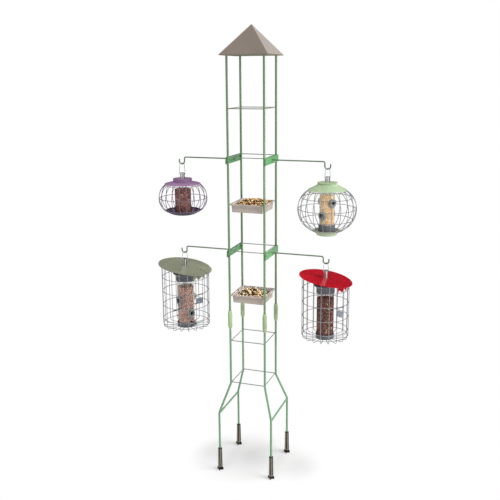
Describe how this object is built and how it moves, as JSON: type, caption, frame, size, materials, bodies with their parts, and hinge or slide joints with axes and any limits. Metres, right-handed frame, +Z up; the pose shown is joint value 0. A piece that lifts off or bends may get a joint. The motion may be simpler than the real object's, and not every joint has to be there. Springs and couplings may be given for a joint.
{
  "type": "tower bird feeder",
  "caption": "Free-standing garden tower with a pyramid roof, seed trays between its posts, and caged feeders hung from hook arms on both sides.",
  "frame": {"origin": "on the ground, at the tower's axis", "axes": "+Z up, arms along X, the picture's near side towards -Y"},
  "size_m": [0.955, 0.29, 2.084],
  "materials": {
    "roof_paint": "satin taupe paint",
    "frame_paint": "satin green paint",
    "sleeve": "moulded, satin",
    "foot": "dark bronze",
    "tray": "satin warm grey paint",
    "seed_mix": "loose mixed seed",
    "bright_wire": "bright drawn wire",
    "barrel": "turned, bright",
    "purple_wire": "painted wire",
    "mesh_tube": "fine steel mesh",
    "peanuts": "loose peanuts",
    "purple_dish": "moulded, satin",
    "purple_paint": "satin paint",
    "grey_wire": "galvanised wire",
    "clear_tube": "clear tube",
    "loose_seed": "loose seed",
    "dark_plastic": "moulded, satin",
    "celadon_dish": "moulded, satin",
    "celadon_paint": "satin paint",
    "tag_metal": "bare plate",
    "olive_paint": "satin paint",
    "red_paint": "satin paint"
  },
  "bodies": {
    "tower": {"roof": "roof_paint", "roof_sockets": "roof_paint", "upper_post_front_left": "frame_paint", "leg_front_left": "frame_paint", "upper_post_front_right": "frame_paint", "leg_front_right": "frame_paint", "upper_post_back_left": "frame_paint", "leg_back_left": "frame_paint", "upper_post_back_right": "frame_paint", "leg_back_right": "frame_paint", "frame_rings": "frame_paint", "leg_braces": "frame_paint", "joining_sleeves": "sleeve", "ground_feet": "foot", "arm_brackets": "frame_paint", "arm_upper_left": "frame_paint", "arm_upper_right": "frame_paint", "arm_lower_left": "frame_paint", "arm_lower_right": "frame_paint"},
    "tray_upper": {"seed_tray_upper": "tray", "tray_seed_upper": "seed_mix"},
    "tray_lower": {"seed_tray_lower": "tray", "tray_seed_lower": "seed_mix"},
    "nut_globe_bail": {"nut_globe_bail": "bright_wire"},
    "nut_globe_feeder": {"nut_globe_hanger": "barrel", "nut_globe_cage": "purple_wire", "nut_globe_tube": "mesh_tube", "nut_globe_peanuts": "peanuts", "nut_globe_dish": "purple_dish"},
    "nut_globe_lid": {"nut_globe_cap": "purple_paint"},
    "seed_globe_bail": {"seed_globe_bail": "bright_wire"},
    "seed_globe_feeder": {"seed_globe_hanger": "barrel", "seed_globe_cage": "grey_wire", "seed_globe_dish_ring": "grey_wire", "seed_globe_tube": "clear_tube", "seed_globe_seed": "loose_seed", "seed_globe_ports": "dark_plastic", "seed_globe_cup": "dark_plastic", "seed_globe_dish": "celadon_dish"},
    "seed_globe_lid": {"seed_globe_cap": "celadon_paint"},
    "seed_cage_bail": {"seed_cage_bail": "bright_wire"},
    "seed_cage_feeder": {"seed_cage_hanger": "barrel", "seed_cage_cage": "grey_wire", "seed_cage_funnel": "dark_plastic", "seed_cage_tube": "clear_tube", "seed_cage_seed": "loose_seed", "seed_cage_ports": "dark_plastic", "seed_cage_perches": "dark_plastic", "seed_cage_cup": "dark_plastic", "seed_cage_tag": "tag_metal"},
    "seed_cage_lid": {"seed_cage_roof": "olive_paint"},
    "nut_cage_bail": {"nut_cage_bail": "bright_wire"},
    "nut_cage_feeder": {"nut_cage_hanger": "barrel", "nut_cage_cage": "grey_wire", "nut_cage_funnel": "dark_plastic", "nut_cage_tube": "mesh_tube", "nut_cage_peanuts": "peanuts", "nut_cage_cup": "dark_plastic", "nut_cage_tag": "tag_metal"},
    "nut_cage_lid": {"nut_cage_roof": "red_paint"}
  },
  "joints": [
    {"name": "tray_upper_lift", "type": "slide", "parent": "tower", "child": "tray_upper", "axis": [0, 0, 1], "range_m": [0, 0.15]},
    {"name": "tray_lower_lift", "type": "slide", "parent": "tower", "child": "tray_lower", "axis": [0, 0, 1], "range_m": [0, 0.15]},
    {"name": "nut_globe_hook_swing", "type": "hinge", "parent": "tower", "child": "nut_globe_bail", "pos_m": [-0.348, 0, 1.469], "axis": [1, 0, 0], "range_deg": [-15, 15]},
    {"name": "nut_globe_bail_pivot", "type": "hinge", "parent": "nut_globe_bail", "child": "nut_globe_feeder", "pos_m": [-0.348, 0, 1.422], "axis": [0.7071, 0.7071, 0], "range_deg": [-12, 12]},
    {"name": "nut_globe_lid_lift", "type": "slide", "parent": "nut_globe_feeder", "child": "nut_globe_lid", "axis": [0, 0, 1], "range_m": [0, 0.045]},
    {"name": "seed_globe_hook_swing", "type": "hinge", "parent": "tower", "child": "seed_globe_bail", "pos_m": [0.348, 0, 1.469], "axis": [1, 0, 0], "range_deg": [-15, 15]},
    {"name": "seed_globe_bail_pivot", "type": "hinge", "parent": "seed_globe_bail", "child": "seed_globe_feeder", "pos_m": [0.348, 0, 1.43], "axis": [0.7071, 0.7071, 0], "range_deg": [-12, 12]},
    {"name": "seed_globe_lid_lift", "type": "slide", "parent": "seed_globe_feeder", "child": "seed_globe_lid", "axis": [0, 0, 1], "range_m": [0, 0.045]},
    {"name": "seed_cage_hook_swing", "type": "hinge", "parent": "tower", "child": "seed_cage_bail", "pos_m": [-0.348, 0, 1.043], "axis": [1, 0, 0], "range_deg": [-15, 15]},
    {"name": "seed_cage_bail_pivot", "type": "hinge", "parent": "seed_cage_bail", "child": "seed_cage_feeder", "pos_m": [-0.348, 0, 1.007], "axis": [0.7071, 0.7071, 0], "range_deg": [-12, 12]},
    {"name": "seed_cage_lid_lift", "type": "slide", "parent": "seed_cage_feeder", "child": "seed_cage_lid", "axis": [0, 0, 1], "range_m": [0, 0.045]},
    {"name": "nut_cage_hook_swing", "type": "hinge", "parent": "tower", "child": "nut_cage_bail", "pos_m": [0.348, 0, 1.043], "axis": [1, 0, 0], "range_deg": [-15, 15]},
    {"name": "nut_cage_bail_pivot", "type": "hinge", "parent": "nut_cage_bail", "child": "nut_cage_feeder", "pos_m": [0.348, 0, 1.007], "axis": [0.7071, 0.7071, 0], "range_deg": [-12, 12]},
    {"name": "nut_cage_lid_lift", "type": "slide", "parent": "nut_cage_feeder", "child": "nut_cage_lid", "axis": [0, 0, 1], "range_m": [0, 0.045]}
  ]
}
